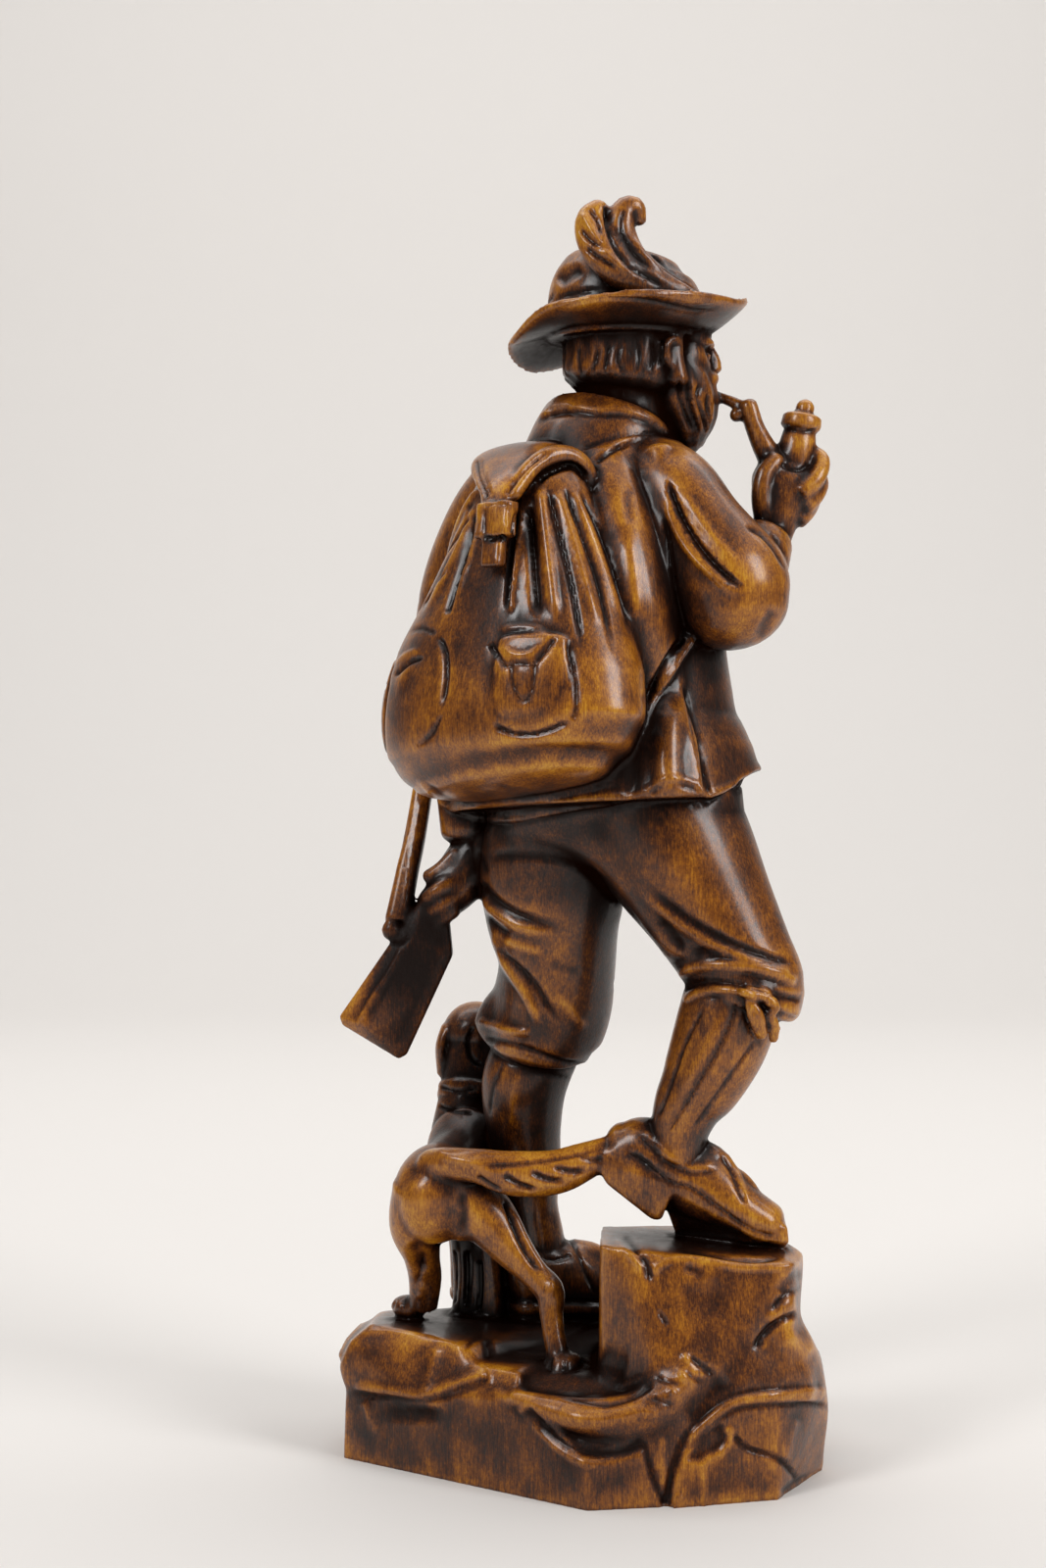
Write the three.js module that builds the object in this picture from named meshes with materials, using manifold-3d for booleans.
// A carved limewood figure group: a bearded huntsman in hat, jacket and knee breeches strides up
// on to a rock, with a rucksack on his back, a lidded pipe in his right hand and a rifle in his
// left. His hound stands beside him, and its tail runs on into the heel of his raised boot.
// All of it is carved from one block, so it is one solid.
//
// Millimetres, +Z up. The origin is on the underside of the rocky plinth, at its middle.
// Places below are measured from behind the huntsman's right shoulder: +x runs to the right, +y
// runs away. The finished group is then turned, so that his chest faces -Y.
import * as THREE from "three";
import { ConvexGeometry } from "three/addons/geometries/ConvexGeometry.js";
import { LoftGeometry } from "three/addons/geometries/LoftGeometry.js";
import { mergeVertices } from "three/addons/utils/BufferGeometryUtils.js";
import Module from "manifold-3d";

const wasm = await Module();
wasm.setup();

// Driving dimensions.
const CHEST_HEADING = 40; // degrees from +y towards +x that his chest faces
const HEAD_HEADING = 79; // the same for his face, which looks over his right shoulder
const GROUND = 30; // height of the trodden ground on the plinth
const ROCK_TOP = 62; // height of the rock under his right boot
const HEAD_MIDDLE = [13, 2]; // the neck's axis
const HAT_BAND = 299; // height at which the brim leaves the crown
const HAT_MIDDLE = [11, 2]; // the crown's axis
const BRIM = [31.3, 27]; // the brim's half length and half width
const RIFLE_Y = 13; // the rifle butt's middle plane
const BALL_OF_FOOT = 32; // from the back of the heel
const PLINTH_MIDDLE = [0, 6]; // the plinth's middle, which becomes the origin
const GROUP_TURN = CHEST_HEADING - 180; // turns his chest to -Y

const LIMEWOOD = new THREE.MeshStandardMaterial({
  name: "stained_limewood",
  color: 0x7d4e1f,
  roughness: 0.42,
  metalness: 0,
});

// A level direction, given as a heading in degrees from +y towards +x.
function heading(degrees) {
  const angle = THREE.MathUtils.degToRad(degrees);
  return new THREE.Vector3(Math.sin(angle), Math.cos(angle), 0);
}

const CHEST = heading(CHEST_HEADING);
const RIGHT = heading(CHEST_HEADING + 90);
const UP = new THREE.Vector3(0, 0, 1);
const X = new THREE.Vector3(1, 0, 0);
const NEAR = new THREE.Vector3(0, -1, 0);

// A closed geometry as a solid that can be joined and cut.
function solid(geometry) {
  const bare = new THREE.BufferGeometry();
  bare.setAttribute("position", geometry.getAttribute("position"));
  bare.setIndex(geometry.getIndex());
  const merged = mergeVertices(bare, 1e-4);
  const triVerts = new Uint32Array(merged.index.array);
  const vertProperties = merged.attributes.position.array;
  const made = new wasm.Manifold(new wasm.Mesh({ numProp: 3, vertProperties, triVerts }));
  if (made.volume() > 0) return made;
  for (let i = 0; i < triVerts.length; i += 3) {
    [triVerts[i + 1], triVerts[i + 2]] = [triVerts[i + 2], triVerts[i + 1]];
  }
  return new wasm.Manifold(new wasm.Mesh({ numProp: 3, vertProperties, triVerts }));
}

function join(solids) {
  return solids.reduce((whole, piece) => whole.add(piece));
}

const DOME_END = 70; // degrees round an end's dome at which it is closed flat

// A form lofted through stations [x, y, z, half width, half depth, turn in degrees] along a spine.
// The half width lies along `across`. `square` above 2 makes the section boxier. `domes` rounds the
// two ends, as a share of their radius, and 0 leaves an end flat. `relief` raises the surface by
// some millimetres, from the share along the spine and the angle round it. `rounds` is the number
// of rings in each dome.
function form(stations, options = {}) {
  const { sides = 12, across = RIGHT, square = 2, domes = [0.7, 0.7], rounds = 1, relief } = options;
  const spine = new THREE.CatmullRomCurve3(
    stations.map(([x, y, z]) => new THREE.Vector3(x, y, z)),
    false,
    "catmullrom",
  );
  const sizes = new THREE.CatmullRomCurve3(
    stations.map(([, , , wide, deep, turn = 0]) => new THREE.Vector3(wide, deep, turn)),
    false,
    "catmullrom",
  );
  const rings = [];
  const ring = (along, shift, scale) => {
    const tangent = spine.getTangent(along);
    const u = across.clone().addScaledVector(tangent, -across.dot(tangent)).normalize();
    const v = new THREE.Vector3().crossVectors(tangent, u);
    const size = sizes.getPoint(along);
    const centre = spine.getPoint(along).addScaledVector(tangent, shift);
    const turn = THREE.MathUtils.degToRad(size.z);
    const points = [];
    for (let i = 0; i < sides; i += 1) {
      const angle = (i / sides) * Math.PI * 2;
      const cos = Math.sign(Math.cos(angle)) * Math.abs(Math.cos(angle)) ** (2 / square);
      const sin = Math.sign(Math.sin(angle)) * Math.abs(Math.sin(angle)) ** (2 / square);
      const raised = relief ? relief(along, angle) : 0;
      const a = (size.x + raised) * scale * cos;
      const b = (size.y + raised) * scale * sin;
      points.push(
        centre
          .clone()
          .addScaledVector(u, a * Math.cos(turn) - b * Math.sin(turn))
          .addScaledVector(v, a * Math.sin(turn) + b * Math.cos(turn)),
      );
    }
    rings.push(points);
  };
  const dome = (along, share, step) => {
    const size = sizes.getPoint(along);
    const depth = share * Math.min(size.x, size.y);
    const angle = THREE.MathUtils.degToRad((DOME_END * step) / rounds);
    ring(along, (along ? 1 : -1) * depth * Math.sin(angle), Math.cos(angle));
  };
  const last = stations.length - 1;
  for (let step = rounds; domes[0] && step > 0; step -= 1) dome(0, domes[0], step);
  for (let i = 0; i <= last; i += 1) ring(i / last, 0, 1);
  for (let step = 1; domes[1] && step <= rounds; step += 1) dome(1, domes[1], step);
  return solid(new LoftGeometry(rings, { capStart: true, capEnd: true }));
}

// An egg-shaped mass: its middle, its three half sizes, and the heading of the second one.
function mass([x, y, z], [wide, deep, high], turn = 0, rounds = [16, 12]) {
  const geometry = new THREE.SphereGeometry(1, rounds[0], rounds[1]);
  geometry.rotateX(Math.PI / 2);
  geometry.scale(wide, deep, high);
  geometry.rotateZ(THREE.MathUtils.degToRad(-turn));
  geometry.translate(x, y, z);
  return solid(geometry);
}

// A faceted mass of rock: the hull of its corners.
function rock(corners) {
  return solid(new ConvexGeometry(corners.map(([x, y, z]) => new THREE.Vector3(x, y, z))));
}

// A smooth bump over a range of angles: 1 at `middle`, 0 beyond `half` degrees from it.
function bump(angle, middle, half) {
  const degrees = THREE.MathUtils.radToDeg(angle);
  const away = Math.abs(((((degrees - middle) % 360) + 540) % 360) - 180);
  return away < half ? Math.cos((away / half) * (Math.PI / 2)) ** 2 : 0;
}

// The plinth: a low block with a straight sawn wall, a slab standing proud at the left, the tall
// rock that he steps on to at the right, and boulders against its foot.
function plinth() {
  const outline = [
    [-64, 1],
    [-1, -45],
    [18, -42],
    [46, -35],
    [60, -12],
    [63, 14],
    [51, 42],
    [22, 57],
    [-20, 58],
    [-50, 48],
    [-64, 26],
  ];
  const block = rock([
    ...outline.map(([x, y]) => [x, y, 0]),
    ...outline.map(([x, y]) => [x * 0.99, y * 0.99, GROUND - 7]),
    ...outline.map(([x, y]) => [x * 0.9, y * 0.9 + 0.5, GROUND]),
  ]);
  const slab = rock([
    [-65.5, 1, 24],
    [-64, 0, 19],
    [-38, -19, 18],
    [-28, -22, 24],
    [-62.5, 0, 31],
    [-57, 0, 35.5],
    [-33, -16, 34],
    [-27, -18, 29.5],
    [-25, -4, 30],
    [-64, 30, 20],
    [-64, 26, 25],
    [-56, 28, 33],
    [-44, 46, 29],
    [-20, 54, 28],
    [-8, 44, 31],
    [4, 30, 31],
    [-6, 6, 30],
    [-48, 48, 20],
  ]);
  const step = rock([
    [2, -29, 20],
    [2.5, -29, 62],
    [4, 0, 20],
    [4, -1, ROCK_TOP - 0.5],
    [20, 14, 20],
    [22, 8, 59],
    [48, 14, 20],
    [48, 4, 56],
    [53.4, -8, 24],
    [55, -14, 55],
    [53, -26, 40],
    [50, -31, 57],
    [26, -34, 60],
    [10, -33, 61],
    [20, -42, 18],
    [50, -34, 18],
  ]);
  const boulder = rock([
    [20, -43, 0],
    [46.5, -36, 0],
    [61, -10, 0],
    [61, 8, 0],
    [23, -42, 14],
    [33, -40, 25],
    [47, -37, 27],
    [62.5, -14, 16],
    [60.2, -22, 27],
    [61, -8, 26],
    [61, 8, 24],
    [46, 6, 28],
    [60, -12, 33],
    [46, -28, 31],
  ]);
  const scoop = rock([
    ...[
      [-19, -37, 23],
      [-10, -43, 17],
      [0, -47, 11],
      [14, -46, 14],
      [20, -44, 19],
      [16, -22, 29],
      [-16, -22, 29],
    ].flatMap(([x, y, z]) => [
      [x, y, z],
      [x, y, 40],
    ]),
  ]);
  const root = form(
    [
      [-2, -42, 12, 3, 3],
      [9, -41, 16, 4.5, 4],
      [20, -38, 22, 6, 5.5],
      [27, -34, 31, 6, 6],
      [31, -30, 41, 6, 6],
    ],
    { across: UP, sides: 8 },
  );
  return join([block.subtract(scoop), slab, step, boulder, root]);
}

// A laced walking shoe. The ball of the foot stands at `ball`, the toe points along `turn`, and the
// sole behind the ball is lifted by `pitch` degrees.
function shoe(ball, turn, pitch) {
  const ahead = heading(turn);
  const across = heading(turn + 90);
  const lift = THREE.MathUtils.degToRad(pitch);
  // A place in the shoe: its distance from the back of the heel, its height, its half sizes.
  const at = ([from, up, wide, deep]) => {
    const run = from - BALL_OF_FOOT;
    const bent = run < 0 ? lift : 0;
    const p = new THREE.Vector3(...ball).addScaledVector(
      ahead,
      run * Math.cos(bent) + up * Math.sin(bent),
    );
    return [p.x, p.y, p.z - run * Math.sin(bent) + up * Math.cos(bent), wide, deep];
  };
  const upper = form(
    [
      [4.5, 11.5, 6.4, 8.6],
      [11, 12.5, 7.1, 9.6],
      [19, 11.5, 7.3, 9],
      [28, 8.6, 7.8, 6.4],
      [36, 7, 8.2, 4.9],
      [44.5, 6, 6.8, 4],
    ].map(at),
    { across, sides: 9, domes: [0.75, 0.85] },
  );
  const sole = form(
    [
      [4, 4.6, 6.4, 2.2],
      [14, 3.8, 6.6, 2.2],
      [23, 2.8, 6.8, 2.2],
      [30, 2.4, 8, 2.2],
      [36, 2.3, 8.6, 2.2],
      [44, 2.6, 6.6, 2],
    ].map(at),
    { across, sides: 8, square: 3, domes: [1.8, 2.2] },
  );
  const heel = form(
    [
      [7.4, -1.6, 6, 6.8],
      [7.4, 5, 6.3, 7.2],
    ].map(at),
    { across, sides: 8, square: 2.6, domes: [0, 0] },
  );
  const laces = form(
    [
      [20, 17.5, 4.4, 3.8],
      [26, 16, 4.2, 4.2],
      [36, 11.2, 3.6, 3.4],
      [41, 8.6, 2.8, 2.4],
    ].map(at),
    { across, sides: 6, domes: [0.8, 0.8] },
  );
  return join([upper, sole, heel, laces]);
}

// The standing left leg: breeches gathered under the knee, a stocking and a shoe.
function leftLeg() {
  const folds = (along, angle) =>
    1.6 * Math.cos(4 * angle + along * 8) * bump(angle, 215, 120) * along +
    5 * bump(angle, 195, 34) * Math.max(0, 1 - Math.abs(along - 0.84) / 0.2);
  const breeches = form(
    [
      [-3, 7, 172, 21, 20],
      [-8, 10, 157, 20.4, 19],
      [-8.6, 12, 143, 18.4, 18],
      [-7.6, 14, 130, 15.9, 17],
      [-8.6, 16, 119, 16, 16.5],
      [-10.6, 17, 110, 15, 15],
      [-11, 18, 104.5, 12, 12.6],
    ],
    { across: X, sides: 12, domes: [0, 0], relief: folds },
  );
  const stocking = form(
    [
      [-12, 19, 108, 11.5, 11.5],
      [-16.2, 20, 97, 11.6, 12],
      [-16.4, 22, 85, 10.2, 10.4],
      [-14.5, 24, 73, 8.2, 8.4],
      [-13.5, 25, 63, 6.4, 6.8],
      [-12, 25, 54, 6.5, 7],
      [-11, 25, 45, 7, 7.4],
    ],
    { across: X, sides: 9, domes: [0, 0] },
  );
  return join([breeches, stocking, shoe([8, 33, GROUND + 1.5], 62, 0)]);
}

// The raised right leg, bent at the knee, with the heel lifted off the rock.
function rightLeg() {
  const folds = (along, angle) =>
    1.5 * Math.cos(4 * angle - along * 9) * bump(angle, 225, 90) * along;
  const breeches = form(
    [
      [17, -2, 172, 22, 22],
      [25, -6, 158, 20, 20],
      [32.2, -9, 145, 17, 17.4],
      [37.8, -12, 133, 15, 15.6],
      [40.2, -13.5, 125, 14.8, 15],
      [39.6, -14, 120, 15, 15],
      [39, -14, 117.4, 13.2, 13.4],
    ],
    { across: X, sides: 12, domes: [0, 0], relief: folds },
  );
  const stocking = form(
    [
      [37, -14.5, 123, 12.6, 12.5],
      [34, -15, 112, 12.4, 12],
      [29.6, -15, 102, 10.8, 11],
      [25.6, -15, 95, 8.8, 9],
      [23.4, -15, 88, 7.4, 7.4],
      [22.6, -15, 82, 7.2, 7],
    ],
    { across: X, sides: 10, domes: [0, 0] },
  );
  const bow = form(
    [
      [46.5, -24, 118, 2.4, 2.6],
      [44.5, -25.5, 112, 2.4, 2.8],
      [41.5, -24.5, 106, 1.4, 1.8],
    ],
    { across: X, sides: 6, domes: [0.7, 0.7] },
  );
  return join([breeches, stocking, bow, shoe([33.5, -16, ROCK_TOP - 1], 101, 22)]);
}

// The jacket from its fluted hem to the shoulders, the seat of the breeches and the collar.
function torso() {
  const flutes = (along, angle) =>
    Math.max(0, 1 - Math.abs(along - 0.14) / 0.34) *
    (7 * bump(angle, 38, 26) -
      3.5 * bump(angle, 6, 14) +
      2.5 * bump(angle, 340, 20) +
      2.5 * bump(angle, 120, 30) +
      2 * bump(angle, 200, 34));
  const jacket = form(
    [
      [3.1, 1.9, 172.5, 43, 32],
      [2.6, 2.5, 179, 42, 32],
      [2.4, 4, 190, 38, 29.5],
      [3.2, 4, 203, 35.5, 27.8],
      [4, 4, 220, 35, 28],
      [4.6, 4, 238, 35, 27],
      [4.6, 4, 250, 33, 24],
      [4.6, 3, 261, 28, 20],
      [5, 2, 270, 19, 15],
    ],
    { sides: 17, domes: [0, 0], relief: flutes },
  );
  const seat = form(
    [
      [4, 4, 184, 32, 25],
      [4, 4, 170, 34, 26],
      [5, 4, 160, 31, 25],
      [6, 5, 152, 20, 17],
    ],
    { sides: 12, domes: [0, 0.5] },
  );
  const collar = form(
    [
      [1.8, -1, 256, 24, 21],
      [2.8, 0, 264, 20.4, 18],
      [4.8, 1.2, 271, 19, 16.2],
      [6, 2, 274.5, 17.6, 15],
    ],
    { sides: 14, domes: [0, 0] },
  );
  return join([jacket, seat, collar]);
}

// The rucksack: drawn in at the neck and bellied below, with gathers under its mouth, a flap, a
// buckled strap, two pockets, and the carrying straps.
function rucksack() {
  const gathers = (along, angle) =>
    1.8 * Math.cos(angle * 7) * bump(angle, 66, 60) * THREE.MathUtils.smoothstep(along, 0.35, 0.75);
  const bag = form(
    [
      [-20, -24, 179.5, 30, 16],
      [-20, -23, 185, 36, 20.5],
      [-20, -22, 195, 40, 22],
      [-18, -21, 208, 37.5, 21.5],
      [-16, -20.5, 222, 31, 19.5],
      [-14.5, -20, 236, 25, 16.5],
      [-13, -19, 249, 20.5, 13.5],
      [-11, -17, 259, 16.5, 10],
    ],
    { sides: 21, domes: [0.3, 0.3], relief: gathers },
  );
  const mouth = form(
    [
      [-20, -37, 249, 2.2, 2.2],
      [-15.5, -33, 257, 2.6, 2.6],
      [-6.5, -27, 261.5, 2.8, 2.8],
      [-0.5, -22, 258.5, 2.8, 2.8],
      [1.5, -19, 252, 2.2, 2.2],
    ],
    { across: CHEST, sides: 6, domes: [0.6, 0.6] },
  );
  const flap = form(
    [
      [-13, -6, 267.5, 11, 2.4],
      [-18, -16, 266, 11.5, 3],
      [-21.5, -26, 259.5, 9, 3],
      [-23.6, -34, 250.5, 5, 3],
      [-24.4, -38, 240, 3.8, 2.4],
    ],
    { sides: 8, domes: [0.6, 0.6] },
  );
  const plate = (low, high, wide, deep) =>
    form(
      [
        [...low, wide, deep],
        [...high, wide, deep],
      ],
      { sides: 8, square: 5, domes: [0, 0] },
    );
  const buckle = plate([-24.2, -39.6, 238], [-23.6, -38.6, 248], 4.4, 2.4);
  const strapEnd = plate([-25, -39.8, 231.5], [-24, -39, 239], 3, 2);
  const pocket = (x, y, z, turn) =>
    form(
      [
        [x, y, z - 11.5, 9.5, 4.5],
        [x, y, z - 6, 11, 5.5],
        [x, y, z + 4, 10.5, 4.8],
        [x, y, z + 11.5, 9.8, 3.4],
      ],
      { across: heading(turn + 90), sides: 8, square: 3.6, domes: [0.7, 0.5] },
    );
  const sideStrap = form(
    [
      [9, -26, 185, 1.6, 2.4],
      [16, -28, 202, 1.6, 2.4],
      [25.5, -24, 216, 1.6, 2.4],
    ],
    { sides: 6, across: CHEST },
  );
  const shoulderStrap = form(
    [
      [-5, -18, 261, 2.4, 2.4],
      [6, -17, 264.5, 2.6, 2.4],
      [15, -12, 268, 2.6, 2.2],
      [20, -2, 268, 2.6, 2.2],
      [21, 9, 262, 2.6, 2.2],
      [19, 20, 248, 2.6, 2.2],
    ],
    { sides: 6, across: RIGHT },
  );
  return join([
    bag,
    mouth,
    flap,
    buckle,
    strapEnd,
    pocket(-14, -47.5, 202, 197),
    pocket(-45, -15, 201, 250),
    sideStrap,
    shoulderStrap,
  ]);
}

// The head under its hat. The face is a plain one: brow, nose and cheeks above a full beard.
function head() {
  const face = heading(HEAD_HEADING);
  const side = heading(HEAD_HEADING + 90);
  const at = (forward, right, z) => {
    const p = new THREE.Vector3(...HEAD_MIDDLE, z)
      .addScaledVector(face, forward)
      .addScaledVector(side, right);
    return [p.x, p.y, p.z];
  };
  // Angles in a form across `side` start at his right and pass the face at 90 degrees.
  const locks = (along, angle) => 0.9 * Math.cos(5 * angle) * bump(angle, 250, 150) * (1 - along * 0.6);
  const skull = form(
    [
      [...at(-4, 0, 266), 12, 12],
      [...at(-3.5, 0, 279.5), 12.4, 13],
      [...at(-3, 0, 283.5), 14.6, 15.8],
      [...at(-2.5, 0, 291), 15, 16.6],
      [...at(-1.5, 0, 299), 15.4, 18],
    ],
    { across: side, sides: 15, domes: [0, 0], relief: locks },
  );
  const visage = form(
    [
      [...at(11, 0, 279), 9, 7.5],
      [...at(12, 0, 285.5), 10.6, 8],
      [...at(12, 0, 290), 11.2, 8],
      [...at(11.6, 0, 293.5), 10.6, 7.6],
      [...at(12, 0, 296), 11.2, 8.4],
      [...at(11.5, 0, 300), 11, 7.8],
    ],
    { across: side, sides: 10, domes: [0, 0] },
  );
  const nose = form(
    [
      [...at(19, 0, 295.5), 1.4, 1.4],
      [...at(21.2, 0, 291), 1.9, 1.9],
      [...at(21.4, 0, 288.4), 2.6, 2.2],
    ],
    { across: side, sides: 6, domes: [0.6, 0.6] },
  );
  const ears = [-1, 1].map((s) => mass(at(2.5, 14.8 * s, 290), [1.8, 3.2, 4.6], HEAD_HEADING, [6, 4]));
  const beard = form(
    [
      [...at(8, 0, 290), 12.4, 8],
      [...at(9.5, 0, 285), 12.6, 10.4],
      [...at(11.5, 0, 278), 11, 10.2],
      [...at(13, 0, 271.5), 7.6, 7.6],
      [...at(14, 0, 268), 4, 4.4],
    ],
    {
      across: side,
      sides: 12,
      domes: [0, 0.4],
      relief: (along, angle) => 0.7 * Math.cos(6 * angle) * Math.min(1, along * 2),
    },
  );
  const moustache = form(
    [
      [...at(15, -9, 281.5), 1.1, 1.1],
      [...at(19.6, -4.5, 285), 2, 1.8],
      [...at(20.6, 0, 285.6), 1.8, 1.6],
      [...at(19.6, 4.5, 285), 2, 1.8],
      [...at(15, 9, 281.5), 1.1, 1.1],
    ],
    { across: UP, sides: 6, domes: [0.7, 0.7] },
  );
  return join([skull, visage, nose, ...ears, beard, moustache]);
}

// The hat: a rounded crown, a brim that is bent down behind his left ear, and two curled feathers.
function hat() {
  const face = heading(HEAD_HEADING);
  const side = heading(HEAD_HEADING + 90);
  const [x, y] = HAT_MIDDLE;
  const crown = form(
    [
      [x - 0.6, y, HAT_BAND - 4, 17.6, 20.8],
      [x - 0.6, y, HAT_BAND + 3, 17.6, 20.8],
      [x - 0.6, y, HAT_BAND + 9, 17, 20.2],
      [x - 0.2, y, HAT_BAND + 14, 15, 17.8],
      [x + 0.4, y, HAT_BAND + 17.5, 11.6, 13.6],
    ],
    { across: side, sides: 14, domes: [0, 0.2] },
  );
  // How far the rim stands above the band, every 45 degrees from the front towards his left.
  const rimLift = [7, 2.5, -3.5, -8.5, -5, 1.5, 3.6, 4];
  const lift = (angle) => {
    const place = (angle / (Math.PI * 2)) * rimLift.length;
    const from = Math.floor(place);
    const share = THREE.MathUtils.smoothstep(place - from, 0, 1);
    return THREE.MathUtils.lerp(rimLift[from], rimLift[(from + 1) % rimLift.length], share);
  };
  const brimProfile = [
    [0.5, -3.1],
    [0.7, -2.8],
    [0.99, -1.2],
    [1.01, 0.6],
    [0.97, 1.1],
    [0.7, 1],
    [0.5, 2],
  ];
  const sides = 18;
  const rings = brimProfile.map(([reach, rise]) => {
    const points = [];
    for (let i = 0; i < sides; i += 1) {
      const angle = (i / sides) * Math.PI * 2;
      const curl = Math.max(0, (reach - 0.6) / 0.4) ** 1.4;
      points.push(
        new THREE.Vector3(x, y, HAT_BAND + rise + lift(angle) * curl)
          .addScaledVector(face, BRIM[0] * reach * Math.cos(angle))
          .addScaledVector(side, -BRIM[1] * reach * Math.sin(angle)),
      );
    }
    return points;
  });
  const brim = solid(new LoftGeometry(rings, { capStart: true, capEnd: true }));
  const feather = (stations) => form(stations, { across: NEAR, sides: 7, domes: [0.6, 0.6] });
  const frontFeather = feather([
    [30, -14, HAT_BAND + 2.5, 2.4, 2.2],
    [23, -16, HAT_BAND + 4.5, 2.8, 3.4],
    [16, -17, HAT_BAND + 8, 3.2, 4.2],
    [11, -17, HAT_BAND + 13.5, 3.4, 4.4],
    [8.4, -16, HAT_BAND + 20, 3.4, 4.2],
    [9, -15, HAT_BAND + 26, 3.2, 3.6],
    [12, -14.5, HAT_BAND + 27.6, 2.8, 2.8],
    [13.4, -14, HAT_BAND + 24, 2, 1.8],
  ]);
  const backFeather = feather([
    [22, -16, HAT_BAND + 4, 2.4, 2.6],
    [13, -18, HAT_BAND + 7, 3.2, 4],
    [7, -18.5, HAT_BAND + 11.5, 3.6, 5],
    [2.6, -17.5, HAT_BAND + 17.5, 3.8, 5.2],
    [1, -16, HAT_BAND + 23.5, 3.6, 4.4],
    [3.2, -15, HAT_BAND + 27, 3, 3],
  ]);
  return join([crown, brim, frontFeather, backFeather]);
}

// A finger or thumb, through its joints.
function finger(joints, thick) {
  return form(
    joints.map((joint, i) => [...joint, thick - i * 0.25, thick - i * 0.25]),
    { across: new THREE.Vector3(0.3, -1, 0.2).normalize(), sides: 4, domes: [0, 0.7] },
  );
}

// The right arm, bent up so that the hand holds the lidded pipe that he smokes.
function pipeArm() {
  const sleeve = form(
    [
      [15, -8, 257, 12, 12.5],
      [22, -14, 252.5, 12, 12.5],
      [28, -18.5, 243, 12.4, 12.5],
      [35.5, -21.5, 230, 15.2, 14],
      [37, -22, 223.5, 14.2, 13.4],
    ],
    { across: X, sides: 12, domes: [0, 0.85], rounds: 2 },
  );
  const cuff = form(
    [
      [36, -21, 223, 12.4, 12.4],
      [40, -14, 229.5, 10.8, 10.8],
      [44, -6, 236.5, 9, 9],
      [46.4, -1.5, 242, 8, 8],
    ],
    { across: UP, sides: 10, domes: [0, 0] },
  );
  const palm = form(
    [
      [47, -1, 241, 5.4, 5.2],
      [49, 1, 248, 7.2, 5.6],
      [51.5, 2.5, 255, 8.2, 6],
      [52, 3, 259, 7, 5],
    ],
    { across: X, sides: 8, domes: [0, 0.6] },
  );
  const fingers = [0, 1, 2, 3].map((i) =>
    finger(
      [
        [55 - i * 0.8, -3 + i * 2.6, 248 + i * 1.6],
        [60 - i * 0.8, -1 + i * 2.4, 256 + i],
        [60.5 - i, 3 + i * 2, 262.5 - i * 0.5],
      ],
      2.5,
    ),
  );
  const thumb = finger(
    [
      [45.5, -2, 248],
      [45, -1, 254.5],
      [46.5, 0, 260.5],
    ],
    3,
  );
  const mouthpiece = form(
    [
      [32, 5.5, 282, 1.7, 1.7],
      [37, 3.5, 280, 1.9, 1.9],
      [41.8, 2, 277.6, 2.8, 2.8],
    ],
    { across: UP, sides: 6, domes: [0, 0.5] },
  );
  const shank = form(
    [
      [42.2, 1.5, 278, 3, 3],
      [44.4, 1, 270.5, 3.3, 3.3],
      [47.6, 1, 263, 3.4, 3.4],
      [52, 2, 256, 3.6, 3.6],
    ],
    { across: X, sides: 8, domes: [0.5, 0.5] },
  );
  const bowl = form(
    [
      [53.8, 1.5, 256, 3.4, 3.4],
      [54.8, 1.5, 261, 4.6, 4.6],
      [56, 1.5, 268, 4.6, 4.6],
      [56.6, 1.5, 272.4, 4, 4],
    ],
    { across: X, sides: 9, domes: [0, 0] },
  );
  const lid = form(
    [
      [56.6, 1.5, 272, 5.4, 5.4],
      [57.1, 1.5, 274.8, 5.2, 5.2],
    ],
    { across: X, sides: 9, domes: [0, 0.25] },
  );
  const knob = mass([57.8, 1.5, 277.2], [2.5, 2.5, 2.5], 0, [7, 4]);
  return join([sleeve, cuff, palm, ...fingers, thumb, mouthpiece, shank, bowl, lid, knob]);
}

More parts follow.
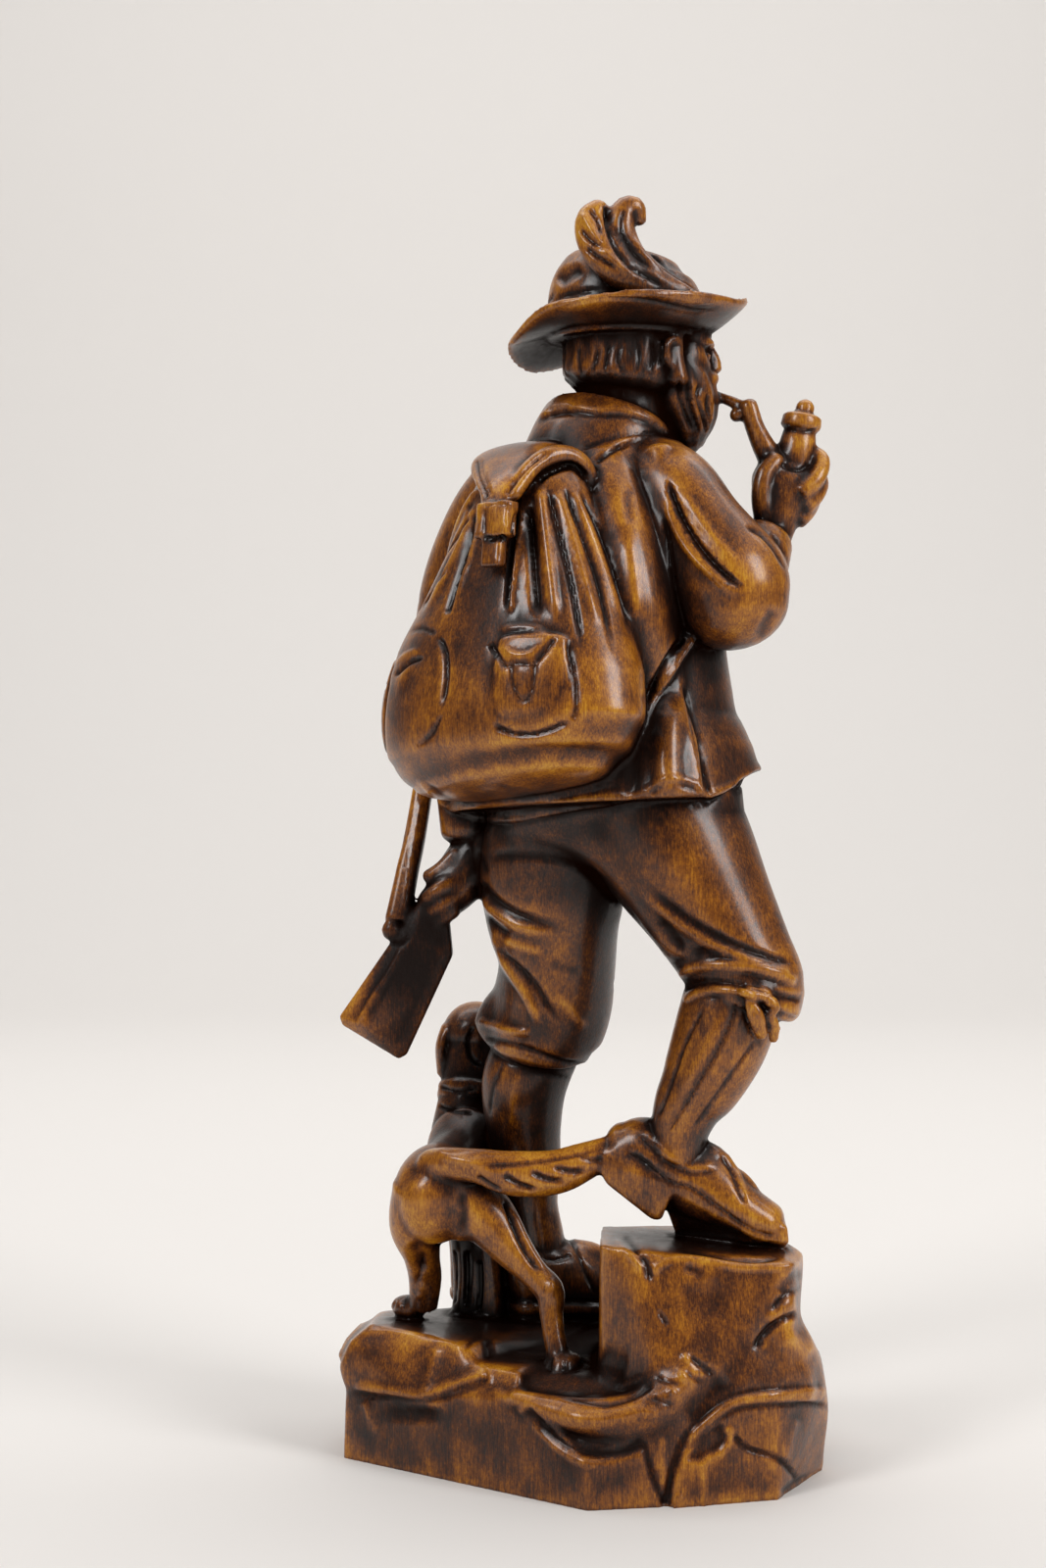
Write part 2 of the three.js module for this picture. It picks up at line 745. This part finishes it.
// The left arm hangs, and its hand grips the rifle at the small of the stock.
function rifleArm() {
  const sleeve = form(
    [
      [-17, 13, 258.5, 12.5, 12.5],
      [-25, 20, 248, 12.8, 12.8],
      [-32, 24.5, 231, 12.6, 12.6],
      [-34.5, 23, 213, 11.8, 11.8],
      [-33, 20, 196, 10.6, 10.6],
      [-31, 18, 180, 9.8, 9.8],
      [-31, 16.5, 163, 8.8, 8.8],
    ],
    { across: X, sides: 10, domes: [0.3, 0.2] },
  );
  const palm = form(
    [
      [-32, 16, 163, 5, 5],
      [-33.5, 14.5, 154, 6, 5.4],
      [-36, 13.5, 147.5, 6.2, 6],
    ],
    { across: X, sides: 8, domes: [0, 0.6] },
  );
  const fingers = [0, 1, 2].map((i) =>
    finger(
      [
        [-33, 9.5 + i, 151.5 - i * 3.2],
        [-40, 8.2 + i * 0.6, 150.5 - i * 3.2],
        [-45.5, 10 + i * 0.4, 149 - i * 3.2],
      ],
      2.5,
    ),
  );
  const thumb = finger(
    [
      [-35, 13, 154],
      [-40, 13, 154.5],
      [-44.5, 13, 151.5],
    ],
    2.7,
  );
  const barrel = form(
    [
      [-50.5, 13, 141, 3.4, 4],
      [-48, 16, 154, 3.1, 3.4],
      [-44.4, 21.5, 174, 2.8, 3.2],
      [-34.5, 42.5, 247, 2.3, 2.4],
    ],
    { across: X, sides: 6, domes: [0, 0] },
  );
  // The butt's outline, and the flat on each cheek inside its bevel.
  const butt = rock(
    [-1, 1].flatMap((cheek) => {
      const edge = RIFLE_Y + 3.5 * cheek;
      const flat = RIFLE_Y + 4.5 * cheek;
      return [
        [-50.5, edge, 139.5],
        [-66, edge, 115.5],
        [-65.2, edge, 113.2],
        [-50, edge, 104.4],
        [-47.8, edge, 105.6],
        [-35.6, edge, 132],
        [-36.4, edge, 141],
        [-42, edge, 150],
        [-62.5, flat, 114.8],
        [-50.2, flat, 107.2],
        [-39, flat, 133],
        [-50, flat, 139],
      ];
    }),
  );
  const bolt = mass([-52, 11.5, 138.8], [2.6, 2.6, 2.8], 0, [7, 4]);
  return join([sleeve, palm, ...fingers, thumb, barrel, butt, bolt]);
}

// The hound stands beside his left leg and looks the way that he walks. Wood is left standing as a
// fluted stump under its belly.
function hound() {
  const trunk = form(
    [
      [-40, -7, 68, 9, 10.5],
      [-40, 0, 69.5, 11, 13],
      [-37.5, 12, 70, 9.8, 12.5],
      [-34.5, 24, 71, 9.8, 13],
      [-32.5, 36, 75, 11, 15],
      [-31.5, 43, 80, 9.6, 12],
    ],
    { across: X, sides: 10 },
  );
  const neck = form(
    [
      [-32.5, 38, 80, 10, 10],
      [-31, 43, 92, 9, 9.5],
      [-30.4, 45, 104, 8.6, 8.6],
    ],
    { across: X, sides: 10, domes: [0, 0] },
  );
  const skull = mass([-30, 46, 107.5], [9.4, 9.6, 9], 8, [8, 6]);
  const muzzle = form(
    [
      [-28.5, 50, 106, 6.2, 6],
      [-27, 58, 104, 4.6, 4.8],
      [-26, 64, 103, 3.8, 3.8],
    ],
    { across: X, sides: 8, domes: [0, 0.7] },
  );
  const ear = (side) =>
    form(
      [
        [-30 + 8 * side, 44, 110, 3, 1.6],
        [-30 + 9.6 * side, 43.5, 104, 4, 1.8],
        [-30 + 9.6 * side, 44, 96.5, 2.6, 1.4],
      ],
      { across: NEAR, sides: 6, domes: [0, 0.7] },
    );
  const collar = form(
    [
      [-31, 42, 89, 10, 10.6],
      [-30.6, 43.2, 92.5, 10, 10.6],
    ],
    { across: X, sides: 10, domes: [0, 0] },
  );
  const leg = (stations) => form(stations, { across: X, sides: 6, domes: [0, 0] });
  const legs = [
    leg([
      [-43, -2, 72, 8, 9.5],
      [-44.8, 0, 62, 7.2, 8],
      [-43.6, 4, 53, 4.9, 5],
      [-42.8, 7, 46, 4.4, 4],
      [-43.4, 9, 38, 3.8, 3.6],
    ]),
    leg([
      [-34, -4, 72, 9, 9],
      [-24, -8, 63.5, 7, 7],
      [-17.5, -11, 53.5, 4.4, 4.8],
      [-11.5, -14, 43.6, 3.4, 3.6],
      [-8.6, -17, 36, 2.8, 3],
      [-7.2, -19, 30, 3.2, 3.2],
    ]),
    leg([
      [-36, 37, 72, 5.6, 7],
      [-34, 38.5, 52, 3.7, 4],
      [-33.5, 41, 36, 3.4, 3.6],
    ]),
    leg([
      [-27, 38, 72, 5.6, 7],
      [-24.4, 41, 52, 3.7, 4],
      [-23, 44, 36, 3.4, 3.6],
    ]),
  ];
  const paw = (x, y, z, turn) => mass([x, y, z], [4.2, 5.4, 3.2], turn, [6, 4]);
  const paws = [
    paw(-47.2, 11.5, 37.6, -50),
    paw(-6, -20, 30, 30),
    paw(-33.5, 44, 34.5, 5),
    paw(-22.5, 47, 34.5, 10),
  ];
  const tail = form(
    [
      [-38, -10, 79.5, 3.8, 3.8],
      [-29, -14, 79.5, 3.8, 4.2],
      [-19.5, -15, 78, 3.8, 5.6],
      [-9, -15, 78.2, 3.8, 5.6],
      [-1, -14, 81, 3.4, 4.8],
      [7, -13, 84, 2.6, 3.6],
    ],
    { across: NEAR, sides: 6, domes: [0.5, 0.5] },
  );
  const stump = form(
    [
      [-27, 25, 30, 10, 9],
      [-27.5, 25, 44, 8.6, 8],
      [-30, 25, 66, 8, 8],
    ],
    {
      across: X,
      sides: 10,
      domes: [0, 0],
      relief: (along, angle) => Math.cos(5 * angle),
    },
  );
  return join([trunk, neck, skull, muzzle, ear(-1), ear(1), collar, ...legs, ...paws, tail, stump]);
}

// The whole carved block.
function figureGroup() {
  const whole = join([
    plinth(),
    leftLeg(),
    rightLeg(),
    torso(),
    rucksack(),
    head(),
    hat(),
    pipeArm(),
    rifleArm(),
    hound(),
  ]);
  const { vertProperties, triVerts } = whole.getMesh();
  const geometry = new THREE.BufferGeometry();
  geometry.setAttribute("position", new THREE.BufferAttribute(vertProperties, 3));
  geometry.setIndex(new THREE.BufferAttribute(triVerts, 1));
  geometry.translate(-PLINTH_MIDDLE[0], -PLINTH_MIDDLE[1], 0);
  const mesh = new THREE.Mesh(geometry, LIMEWOOD);
  mesh.name = "figure_group";
  mesh.rotation.z = THREE.MathUtils.degToRad(GROUP_TURN);
  return mesh;
}

const group = new THREE.Group();
group.name = "carved_figure_group";
group.add(figureGroup());

export default group;
